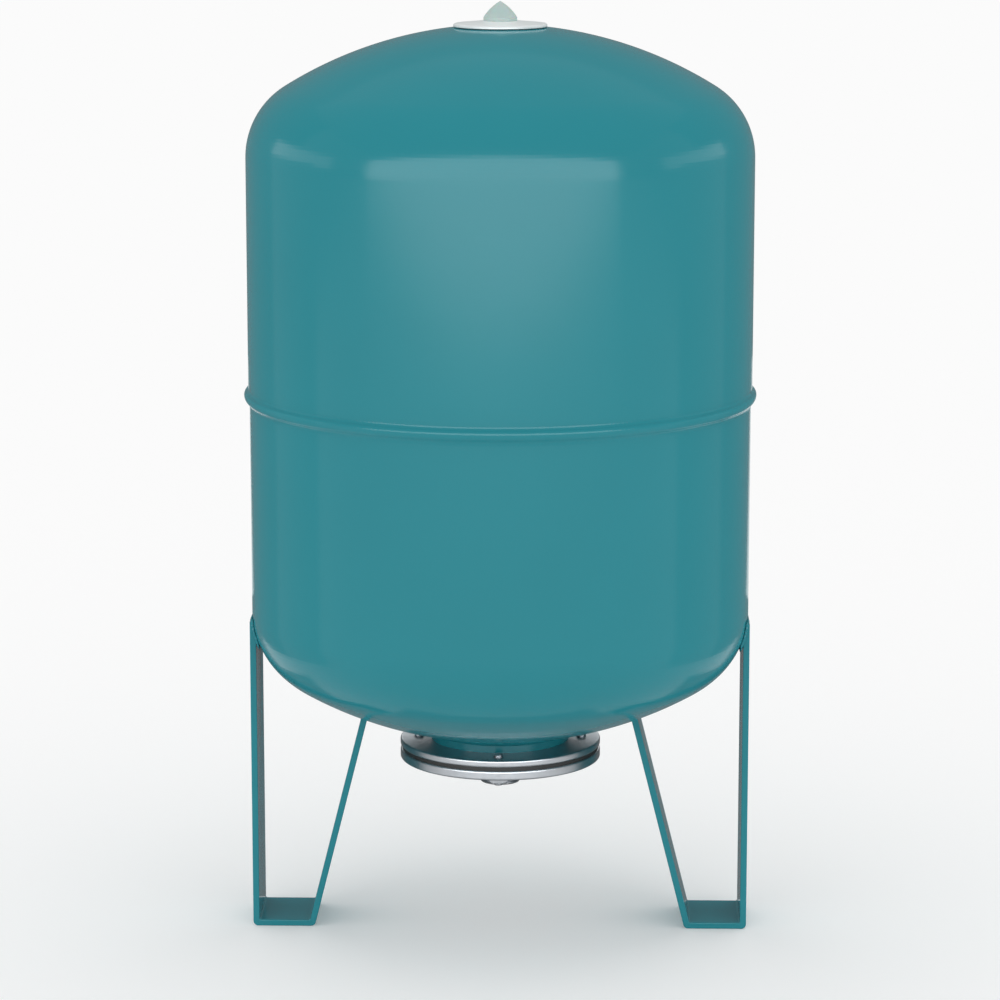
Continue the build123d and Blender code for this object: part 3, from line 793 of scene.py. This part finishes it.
inlet_thread = thread_rows(inlet_radius, inlet_low.z + inlet_chamfer, thread_top_z, inlet_pitch)
inlet_points = outline([
    (inlet_bore, inlet_low.z, inlet_edge),
    (inlet_radius - inlet_chamfer, inlet_low.z),
    *inlet_thread,
    (inlet_collar, thread_top_z, inlet_collar_edge),
    (inlet_collar, counter_low.z, inlet_edge),
    (inlet_radius, counter_low.z),
    (inlet_radius, inlet_high.z, inlet_edge),
    (inlet_bore, inlet_high.z, inlet_edge),
])
nipple = turned_piece(
    "inlet_nipple_cut", inlet_points, bright_zinc, inlet_segments, Thread_Pitch=inlet_pitch,
    Thread_Depth=inlet_thread_depth, Thread_Low=inlet_low.z, Thread_High=thread_top_z,
    Crest_Radius=inlet_radius - inlet_chamfer / 2)
stand_for(nipple, "zinc", "inlet_nipple")

# %% [markdown]
# Studs, washers and nuts. Each is made once on the axis and then set round the bolt circle. The nut's
# corners are cut back by a cone, which leaves the curved edges that every real hexagon nut has. The cone
# and the hexagon need no cutting of meshes: the smaller of the two radii wins at every angle.

# %% Studs
stud_low, stud_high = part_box("flange_studs")
stud_radius = 0.004
stud_chamfer = 0.0008
stud_pitch = 0.00125
stud_thread_depth = 0.00062
stud_segments = 32

stud_rows = thread_rows(stud_radius, stud_low.z + stud_chamfer, stud_high.z - stud_chamfer, stud_pitch)
stud_points = outline([
    (0.0, stud_low.z),
    (stud_radius - stud_chamfer, stud_low.z),
    *stud_rows,
    (stud_radius - stud_chamfer, stud_high.z),
    (0.0, stud_high.z),
], closed=False)
stud = turned_piece(
    "stud", stud_points, satin_zinc, stud_segments, closed=False, Thread_Pitch=stud_pitch,
    Thread_Depth=stud_thread_depth, Thread_Low=stud_low.z, Thread_High=stud_high.z,
    Crest_Radius=stud_radius - stud_chamfer / 2)
studs = round_the_circle("flange_studs_threaded", stud, satin_zinc)
stand_for(studs, "zinc", "flange_studs")

# %% Washers and nuts
washer_low, washer_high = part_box("flange_washers")
washer_bore = stud_radius + 0.00025
washer_edge = 0.0003
washer_segments = 64

washer_points = outline([
    (washer_bore, washer_low.z, washer_edge),
    (washer_radius, washer_low.z, washer_edge),
    (washer_radius, washer_high.z, washer_edge),
    (washer_bore, washer_high.z, washer_edge),
])
washer = turned_piece("washer", washer_points, bright_zinc, washer_segments)
washers = round_the_circle("flange_washers_turned", washer, bright_zinc)
stand_for(washers, "zinc", "flange_washers")

nut_low, nut_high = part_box("flange_nuts")
nut_width = 0.013
nut_corner = nut_width / 2 / cos(pi / 6)
nut_corner_cut = 0.001
nut_cut_rise = nut_corner_cut * sin(pi / 6) / cos(pi / 6)
nut_cut_steps = 6
nut_lead_in = 0.0005
nut_segments = 96
nut_sharp_angle = 20.0


def corner_cone(base_z, direction):
    """The cone that cuts back the nut's corners at one end, from its face to its corners."""
    parts = [k / nut_cut_steps for k in range(nut_cut_steps + 1)]
    return [(nut_corner - nut_corner_cut * (1 - part), base_z + direction * nut_cut_rise * part)
            for part in parts]


nut_points = outline([
    (stud_radius, nut_low.z + nut_lead_in),
    (stud_radius + nut_lead_in, nut_low.z),
    *corner_cone(nut_low.z, 1),
    *reversed(corner_cone(nut_high.z, -1)),
    (stud_radius + nut_lead_in, nut_high.z),
    (stud_radius, nut_high.z - nut_lead_in),
])
nut = turned_piece("nut", nut_points, bright_zinc, nut_segments, sharp_angle=nut_sharp_angle,
                   Half_Width=nut_width / 2)
nuts = round_the_circle("flange_nuts_hexagon", nut, bright_zinc)
stand_for(nuts, "zinc", "flange_nuts")

# %% [markdown]
# The legs. Each is one flat bar, bent twice at the foot and welded to the dome at both ends. The press
# squeezes the bends, so they are tight inside and nearly square outside. Rolled bar has softly rounded long
# edges, and these catch the light, so a rounded section is carried between an inner and an outer line.

# %% Leg sizes
leg_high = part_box("right_leg")[1]
leg_thickness = 0.005
leg_half_width = leg_high.y
leg_inner_bend = 0.0015
leg_outer_bend = 0.004
foot_length = 0.0498
strut_lean = radians(14.2)
bar_edge = 0.0007
bar_edge_steps = 4
bar_long_straight = 0.005
bar_support = 0.0003
bend_steps = 8
strut_end_drop = 0.03
strut_end_z = lower_tangent_z - strut_end_drop


def round_bends(corners, radius):
    """An open line with every inner corner bent to a radius."""
    line = [corners[0]]
    for before, here, after in zip(corners, corners[1:], corners[2:]):
        back = (before - here).normalized()
        on = (after - here).normalized()
        half = back.angle(on) / 2
        reach = radius / sin(half) * cos(half)
        middle = here + (back + on).normalized() * (radius / sin(half) - radius)
        line.extend(arc_through(here + back * reach, middle, here + on * reach, bend_steps))
    line.append(corners[-1])
    return line


def supported_line(line):
    """Points close to the ends of long straights, so that smooth shading stays in the bends."""
    result = []
    for here, after in zip(line, line[1:]):
        result.append(here)
        span = after - here
        if span.length > bar_long_straight:
            result.append(here + span.normalized() * bar_support)
            result.append(after - span.normalized() * bar_support)
    result.append(line[-1])
    return result


def leg_line(depth, bend):
    """The bar's line at a depth under its outer face: down from the top, along the floor, up the strut."""
    sole_step = depth * (1 - sin(strut_lean)) / cos(strut_lean)
    heel_x = leg_high.x - foot_length + depth * cos(strut_lean) - sole_step * sin(strut_lean)
    top = Vector((leg_high.x - depth, leg_high.z))
    toe = Vector((leg_high.x - depth, depth))
    heel = Vector((heel_x, depth))
    strut_rise = strut_end_z - depth
    end = heel + Vector((-strut_rise * sin(strut_lean) / cos(strut_lean), strut_rise))
    return supported_line(round_bends([top, toe, heel, end], bend))


# %% The bar carried along its lines
def bar_section():
    """Rounded rectangle: across the bar, and its depth from 0 at the inner face to 1 at the outer face."""
    half = leg_thickness / 2
    corners = [(-leg_half_width, -half, bar_edge), (leg_half_width, -half, bar_edge),
               (leg_half_width, half, bar_edge), (-leg_half_width, half, bar_edge)]
    return [(p.x, p.y / leg_thickness + 0.5) for p in outline(corners, bar_edge_steps)]


def bent_bar(name, inner_line, outer_line, material):
    """The section carried between the two lines, with both ends closed."""
    work = bmesh.new()
    rings = []
    for inner, outer in zip(inner_line, outer_line):
        places = [(across, inner.lerp(outer, part)) for across, part in bar_section()]
        rings.append([work.verts.new((place.x, across, place.y)) for across, place in places])
    for first, second in zip(rings, rings[1:]):
        for k in range(len(first)):
            after = (k + 1) % len(first)
            work.faces.new((first[k], first[after], second[after], second[k]))
    work.faces.new(rings[0])
    work.faces.new(list(reversed(rings[-1])))
    for face in work.faces:
        face.smooth = True
    mesh = bpy.data.meshes.new(name)
    work.to_mesh(mesh)
    work.free()
    mesh.materials.append(material)
    face_outwards(mesh)
    mesh.set_sharp_from_angle(angle=radians(plain_sharp_angle))
    bar = bpy.data.objects.new(name, mesh)
    bpy.context.scene.collection.objects.link(bar)
    print(name, len(rings), "rings of", len(rings[0]), "points")
    return bar


# %% Legs, trimmed to the dome
dome_outside = dome_points(lower_radius, lower_tangent_z, -1, 0.0, 0.0)
dome_form = [(0.0, seam_z), (lower_radius, seam_z), *dome_outside[:-1], (0.0, dome_outside[-1][1])]
dome_body = turned_piece("dome_form", dome_form, paint, shell_segments, closed=False)
inner_line = leg_line(leg_thickness, leg_inner_bend)
outer_line = leg_line(0.0, leg_outer_bend)
right_leg = bent_bar("right_leg_bent", inner_line, outer_line, paint)
cut_away(right_leg, dome_body)


def mirrored(piece, name):
    """The same piece on the other side of the tank."""
    mesh = piece.data.copy()
    for vertex in mesh.vertices:
        vertex.co.x = -vertex.co.x
    mesh.flip_normals()
    twin = bpy.data.objects.new(name, mesh)
    bpy.context.scene.collection.objects.link(twin)
    return twin


left_leg = mirrored(right_leg, "left_leg_bent")
print("bar of", round(2000 * leg_half_width, 1), "by", round(1000 * leg_thickness, 1), "mm, two legs")
stand_for(right_leg, "paint", "right_leg")
stand_for(left_leg, "paint", "left_leg")

# %% [markdown]
# The leg welds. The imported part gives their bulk: a bead round both ends of each leg, where it meets the
# dome. Here a copy of that bulk is rebuilt from small cubes, smoothed like metal that has run, and rippled
# by a noise. The frame's own mesh isn't changed.


# %% The tree that ripples a weld
def make_weld_tree():
    tree, given, result = new_tree(
        "laid_weld", Bulk="Geometry", Ripple_Scale="Float", Ripple_Height="Float", Ripple_Level="Float",
        Material="Material")
    texture = step(tree, "ShaderNodeTexNoise", "Fac", Scale=given["Ripple Scale"], Detail=1.0)
    level = calc(tree, "SUBTRACT", texture, given["Ripple Level"])
    height = calc(tree, "MULTIPLY", level, given["Ripple Height"])
    normal = step(tree, "GeometryNodeInputNormal")
    offset = step(tree, "ShaderNodeVectorMath", operation="SCALE", Vector=normal, Scale=height)
    moved = step(tree, "GeometryNodeSetPosition", Geometry=given["Bulk"], Offset=offset)
    smooth = step(tree, "GeometryNodeSetShadeSmooth", Geometry=moved)
    finish_tree(tree, result, smooth, given["Material"])
    return tree


weld_ripple_scale = 420.0
weld_ripple_height = 0.0009
weld_ripple_level = 0.7
weld_cube = 0.00045
weld_smoothing = 6
weld_join = 1e-6
weld_tree = make_weld_tree()
print("weld tree:", len(weld_tree.nodes), "nodes")


def laid_weld(name, node_name, material):
    """A weld bead grown from a copy of a frame node."""
    mesh = nodes[node_name].data.copy()
    bulk = bpy.data.objects.new(name + "_bulk", mesh)
    bpy.context.scene.collection.objects.link(bulk)
    weld = bulk.modifiers.new("weld", "WELD")
    weld.merge_threshold = weld_join
    remesh = bulk.modifiers.new("cubes", "REMESH")
    remesh.mode = "VOXEL"
    remesh.voxel_size = weld_cube
    soften = bulk.modifiers.new("soften", "SMOOTH")
    soften.iterations = weld_smoothing
    grown = bpy.data.meshes.new_from_object(bulk.evaluated_get(bpy.context.evaluated_depsgraph_get()))
    bpy.data.objects.remove(bulk)
    grown.materials.clear()
    return run_tree(name, grown, weld_tree, rippled_sharp_angle, Ripple_Scale=weld_ripple_scale,
                    Ripple_Height=weld_ripple_height, Ripple_Level=weld_ripple_level, Material=material)


leg_welds = laid_weld("leg_welds_laid", "leg_welds", paint)
stand_for(leg_welds, "paint", "leg_welds")

# %% [markdown]
# The crown. A shallow zinc plate with a turned-down rim sits over the valve, on a rubber ring. It faces the
# sky, so its zinc has the most bloom. A pointed plastic cap with a thin skin, moulded in one piece with its
# sleeve, pushes onto the valve's stem. Both are round, so the turning tree makes them from their sections.

# %% Crown plate
plate_low, plate_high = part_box("top_plate")
plate_radius = plate_high.x
plate_sheet = 0.002
plate_cone_drop = 0.002
plate_flat = 0.0135
plate_edge = 0.0015
plate_hole = 0.0071
plate_hole_edge = 0.0003
plate_cone_bend = 0.006
plate_skirt_edge = 0.0005
plate_skirt_bend = 0.0008
crown_segments = 128
plate_rim_z = plate_high.z - plate_cone_drop
plate_slope = plate_cone_drop / (plate_radius - plate_edge - plate_flat)
skirt_radius = plate_radius - plate_sheet
skirt_top_z = plate_high.z - plate_sheet - plate_slope * (skirt_radius - plate_flat)

plate_points = outline([
    (plate_hole, plate_high.z, plate_hole_edge),
    (plate_flat, plate_high.z, plate_cone_bend),
    (plate_radius, plate_rim_z - plate_slope * plate_edge, plate_edge),
    (plate_radius, plate_low.z, plate_skirt_edge),
    (skirt_radius, plate_low.z, plate_skirt_edge),
    (skirt_radius, skirt_top_z, plate_skirt_bend),
    (plate_flat, plate_high.z - plate_sheet, plate_cone_bend),
    (plate_hole, plate_high.z - plate_sheet, plate_hole_edge),
])
plate = turned_piece("top_plate_pressed", plate_points, pale_zinc, crown_segments)
stand_for(plate, "zinc", "top_plate")

# %% Protective cap
cap_low, cap_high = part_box("valve_cap")
cap_radius = cap_high.x
cap_band_height = 0.0026
cap_band_z = cap_low.z + cap_band_height
cap_skin = 0.0013
cap_bulge = 0.00075
cap_side_steps = 16
cap_tip = 0.0008
cap_tip_flat = cap_tip * 0.75
cap_tip_drop = cap_tip * 0.22
cap_point_height = 0.0038
cap_ceiling_z = cap_high.z - cap_point_height
cap_lip = 0.0004
stem_room = 0.0039
sleeve_wall = 0.0011
sleeve_radius = stem_room + sleeve_wall
sleeve_low_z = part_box("cap_seal")[1].z
sleeve_gap = 0.0003
sleeve_step = 0.0002


def cap_side(radius, base_z, tip_radius, tip_z):
    """Slightly bulged side of the cap, from its band to its tip."""
    middle = ((radius + tip_radius) / 2 + cap_bulge, (base_z + tip_z) / 2 + cap_bulge)
    return arc_through((radius, base_z), middle, (tip_radius, tip_z), cap_side_steps)


cap_outside = cap_side(cap_radius, cap_band_z, cap_tip, cap_high.z - cap_tip / 2)
cap_inside = [p for p in cap_side(cap_radius - cap_skin, cap_band_z, stem_room, cap_ceiling_z)
              if p.x > sleeve_radius + sleeve_gap]
cap_points = outline([
    (0.0, cap_ceiling_z),
    (stem_room, cap_ceiling_z),
    (stem_room, sleeve_low_z),
    (sleeve_radius, sleeve_low_z),
    (sleeve_radius, cap_inside[-1].y + sleeve_step),
    *reversed(cap_inside),
    (cap_radius - cap_skin, cap_low.z, cap_lip),
    (cap_radius, cap_low.z, cap_lip),
    *cap_outside[:-1],
    (cap_tip_flat, cap_high.z - cap_tip_drop),
    (0.0, cap_high.z),
], closed=False)
cap = turned_piece("valve_cap_moulded", cap_points, cap_plastic, crown_segments, closed=False)
stand_for(cap, "cap_plastic", "valve_cap")

# %% [markdown]
# The spring in the valve's core. It is wound cold from round wire, so the tree carries a round section
# along a spiral. The imported spring could stay, as other hidden solids do; this one is wound in its place
# to the same size, and like the imported one it stands still while the pin goes down.


# %% The tree that winds a spring
def make_spring_tree():
    tree, given, result = new_tree(
        "wound_spring", Section="Geometry", Turns="Float", Points_a_Turn="Int", Coil_Radius="Float",
        Low="Float", High="Float", Material="Material")
    low = given["Low"]
    coil_radius = given["Coil Radius"]
    rise = calc(tree, "SUBTRACT", given["High"], low)
    spiral = step(tree, "GeometryNodeCurveSpiral", Resolution=given["Points a Turn"],
                  Rotations=given["Turns"], Start_Radius=coil_radius, End_Radius=coil_radius, Height=rise,
                  Reverse=True)
    section = step(tree, "GeometryNodeMeshToCurve", Mesh=given["Section"])
    wire_mesh = step(tree, "GeometryNodeCurveToMesh", Curve=spiral, Profile_Curve=section, Fill_Caps=True)
    foot = vector_of(tree, 0.0, 0.0, low)
    raised = step(tree, "GeometryNodeTransform", Geometry=wire_mesh, Translation=foot)
    smooth = step(tree, "GeometryNodeSetShadeSmooth", Geometry=raised)
    finish_tree(tree, result, smooth, given["Material"])
    return tree


# %% Core spring
spring_low, spring_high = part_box("core_spring")
spring_wire = 0.0002
spring_turns = 4.0
spring_points_a_turn = 32
spring_sides = 12


def wire_section(name, radius, sides):
    """The wire's round section as a ring of edges."""
    angles = [2 * pi * k / sides for k in range(sides)]
    mesh = bpy.data.meshes.new(name)
    mesh.from_pydata([(radius * cos(a), radius * sin(a), 0.0) for a in angles],
                     [(k, (k + 1) % sides) for k in range(sides)], [])
    return mesh


spring = run_tree(
    "core_spring_wound", wire_section("spring_section", spring_wire, spring_sides), make_spring_tree(),
    rippled_sharp_angle, Turns=spring_turns, Points_a_Turn=spring_points_a_turn,
    Coil_Radius=spring_high.x - spring_wire, Low=spring_low.z + spring_wire,
    High=spring_high.z - spring_wire, Material=bare_steel)
stand_for(spring, "bare_steel", "core_spring")
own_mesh(spring)

# %% [markdown]
# What the shells and the cap hide keeps the frame's own solids: the membrane bag, the boss, the brass
# valve with its pin, and the seals. Each still gets its finish, because a part may be opened or cut away.

# %% Finishes for the frame's own solids
nodes_by_finish = [
    (paint, ("upper_shell", "lower_shell", "girth_weld", "neck_collar", "neck_weld", "left_leg",
             "right_leg", "leg_welds")),
    (bright_zinc, ("backing_flange", "counter_flange", "inlet_nipple", "flange_studs", "flange_washers",
                   "flange_nuts", "top_plate")),
    (rubber, ("membrane", "plate_pad", "core_seal", "cap_seal")),
    (brass, ("air_valve", "valve_core", "core_pin")),
    (bare_steel, ("valve_boss", "core_spring")),
    (copper, ("valve_washer",)),
    (cap_plastic, ("valve_cap",)),
]
for finish, names in nodes_by_finish:
    for name in names:
        node = nodes[name]
        if not node.material_slots:
            node.data.materials.append(finish)
        for material_slot in node.material_slots:
            material_slot.material = finish
print("frame solids finished:", sum(len(names) for finish, names in nodes_by_finish), "of", len(nodes))

# %% [markdown]
# The studio. The photograph has flat, even light, a white surround and a pale floor with a soft shadow.
# A white world gives the light. What the camera and the gloss see of it is exactly white, while the light
# that falls on matt surfaces is a little weaker, so that each colour renders as it is written.

# %% World and floor
white = (1.0, 1.0, 1.0, 1.0)
sky_light = 0.95
floor_colour = (0.90, 0.90, 0.90)
floor_lift = 0.11
floor_roughness = 0.9
floor_half = 40.0


def seen_directly(tree):
    """1 for rays from the camera, from gloss or through clear plastic; 0 for light on matt surfaces."""
    path = tree.nodes.new("ShaderNodeLightPath")
    gloss = calc(tree, "MAXIMUM", path.outputs["Is Glossy Ray"], path.outputs["Is Transmission Ray"])
    return calc(tree, "MAXIMUM", path.outputs["Is Camera Ray"], gloss)


def make_world():
    world = bpy.data.worlds.new("studio")
    world.use_nodes = True
    tree = world.node_tree
    sky = tree.nodes["Background"]
    sky.inputs["Color"].default_value = white
    missing = calc(tree, "MULTIPLY", seen_directly(tree), 1.0 - sky_light)
    feed(tree, sky.inputs["Strength"], calc(tree, "ADD", missing, sky_light))
    bpy.context.scene.world = world


def stage_panel(name, corners, material):
    """A flat four-cornered piece of the studio."""
    mesh = bpy.data.meshes.new(name)
    mesh.from_pydata(corners, [], [(0, 1, 2, 3)])
    mesh.materials.append(material)
    panel = bpy.data.objects.new(name, mesh)
    bpy.context.scene.collection.objects.link(panel)
    return panel


def make_floor():
    material, shader = new_finish("pale_floor", floor_colour, floor_roughness, Specular_IOR_Level=0.0,
                                  Emission_Color=white)
    tree = material.node_tree
    feed(tree, shader.inputs["Emission Strength"], calc(tree, "MULTIPLY", seen_directly(tree), floor_lift))
    corners = [(-floor_half, -floor_half, 0.0), (floor_half, -floor_half, 0.0),
               (floor_half, floor_half, 0.0), (-floor_half, floor_half, 0.0)]
    stage_panel("floor", corners, material)


make_world()
make_floor()
print("floor and world ready")

# %% [markdown]
# The reflections. Enamel shows the room it stands in, and this one is a dim grey studio. A wide softbox
# behind the photographer shows as the pale patch on the upper wall, cut off straight where the wall turns
# into the dome. Two strip lights leave the short strokes on the shoulder. Dark flags beside and behind the
# tank keep its sides, its dome's edge and its legs from going pale. Two dim sheets on the floor under and
# behind the tank are painted shade: they stand in for the tank's shadow on the floor in its reflections.
# A bright card behind the flange lights its rim. These panels are there for the gloss alone, and no camera
# sees them: the world already gives all the light.

# %% Cloths and panels of the studio
black = (0.0, 0.0, 0.0)
cloth_roughness = 0.5
shade_sheet_z = 0.003


def glowing_cloth(name, level):
    """A surface that glows evenly; a low level is grey cloth."""
    return new_finish(name, black, cloth_roughness, Specular_IOR_Level=0.0, Emission_Color=white,
                      Emission_Strength=level)[0]


def gloss_panel(name, corners, material):
    """A panel that only reflections see."""
    panel = stage_panel(name, corners, material)
    panel.visible_camera = False
    panel.visible_diffuse = False
    panel.visible_transmission = False
    panel.visible_shadow = False


def upright_panel(name, start, end, low, high, material):
    """An upright panel between two places on the floor."""
    gloss_panel(name, [(*start, low), (*end, low), (*end, high), (*start, high)], material)


def panel_pair(name, start, end, low, high, material):
    """The same upright panel on the left and on the right."""
    for side, label in ((-1, "left_"), (1, "right_")):
        places = [(side * x, y) for x, y in (start, end)]
        upright_panel(label + name, *places, low, high, material)


def level_panel(name, start, end, height, material):
    """A panel that lies level, from one corner to the corner across."""
    corners = [(start[0], start[1]), (end[0], start[1]), (end[0], end[1]), (start[0], end[1])]
    gloss_panel(name, [(*corner, height) for corner in corners], material)


# %% Softbox, strip lights, walls and ceiling
ceiling_height = 3.2
room_front = (6.2, -3.4)
room_side = (3.3, 0.6)
room_corner = (2.4, 2.4)
room_back = (0.62, 3.0)
softbox = glowing_cloth("softbox_cloth", 4.75)
strip_glow = glowing_cloth("strip_cloth", 1.5)
pale_wall = glowing_cloth("pale_wall", 0.45)
dim_wall = glowing_cloth("dim_wall", 0.20)
ceiling_cloth = glowing_cloth("ceiling_cloth", 0.34)

upright_panel("front_softbox", (-5.6, -3.36), (4.7, -3.36), 0.06, 2.4, softbox)
upright_panel("front_wall", (-room_front[0], room_front[1]), room_front, 0.0, ceiling_height, pale_wall)
upright_panel("back_wall_middle", (-room_back[0], room_back[1]), room_back, 0.0, ceiling_height, dim_wall)
panel_pair("strip_light", (2.92, -0.67), (2.6, 1.5), 0.72, 1.32, strip_glow)
panel_pair("side_wall", room_front, room_side, 0.0, ceiling_height, pale_wall)
panel_pair("far_wall", room_side, room_corner, 0.0, ceiling_height, dim_wall)
panel_pair("back_wall", room_corner, room_back, 0.0, ceiling_height, dim_wall)
level_panel("ceiling", (-room_front[0], room_front[1]), (room_front[0], room_back[1]), ceiling_height,
            ceiling_cloth)
print("room of", 2 * room_front[0], "by", room_back[1] - room_front[1], "m ready")

# %% Flags, floor sheets of painted shade, and the card behind the flange
flag_foot = 0.05
flag_top = 0.655
low_flag_top = 0.2
card_foot = 0.205
card_top = 0.32
flag_bend = (0.49, 0.10)
flag_rear = (0.56, 1.0)
flag_cloth = glowing_cloth("flag_cloth", 0.21)
lit_card = glowing_cloth("lit_card", 2.2)

upright_panel("low_flag", (-0.4, 0.3), (0.4, 0.3), 0.0, low_flag_top, flag_cloth)
upright_panel("low_card", (-0.16, 0.3), (0.16, 0.3), card_foot, card_top, lit_card)
panel_pair("front_flag", (0.47, -0.15), flag_bend, flag_foot, flag_top, pale_wall)
panel_pair("near_flag", flag_bend, flag_rear, flag_foot, flag_top, flag_cloth)
panel_pair("rear_flag", flag_rear, (0.74, 2.4), 0.0, flag_top, flag_cloth)
# Painted shade: two dim sheets on the floor under and behind the tank stand in for the tank's shadow where
# the gloss sees the floor.
level_panel("shade_sheet_under_tank", (-0.145, -0.12), (0.145, 0.04), shade_sheet_z, flag_cloth)
level_panel("shade_sheet_behind_tank", (-0.4, 0.04), (0.4, 0.31), shade_sheet_z, flag_cloth)
print("flags and card ready")

# %% View transform
bpy.context.scene.view_settings.view_transform = "Standard"
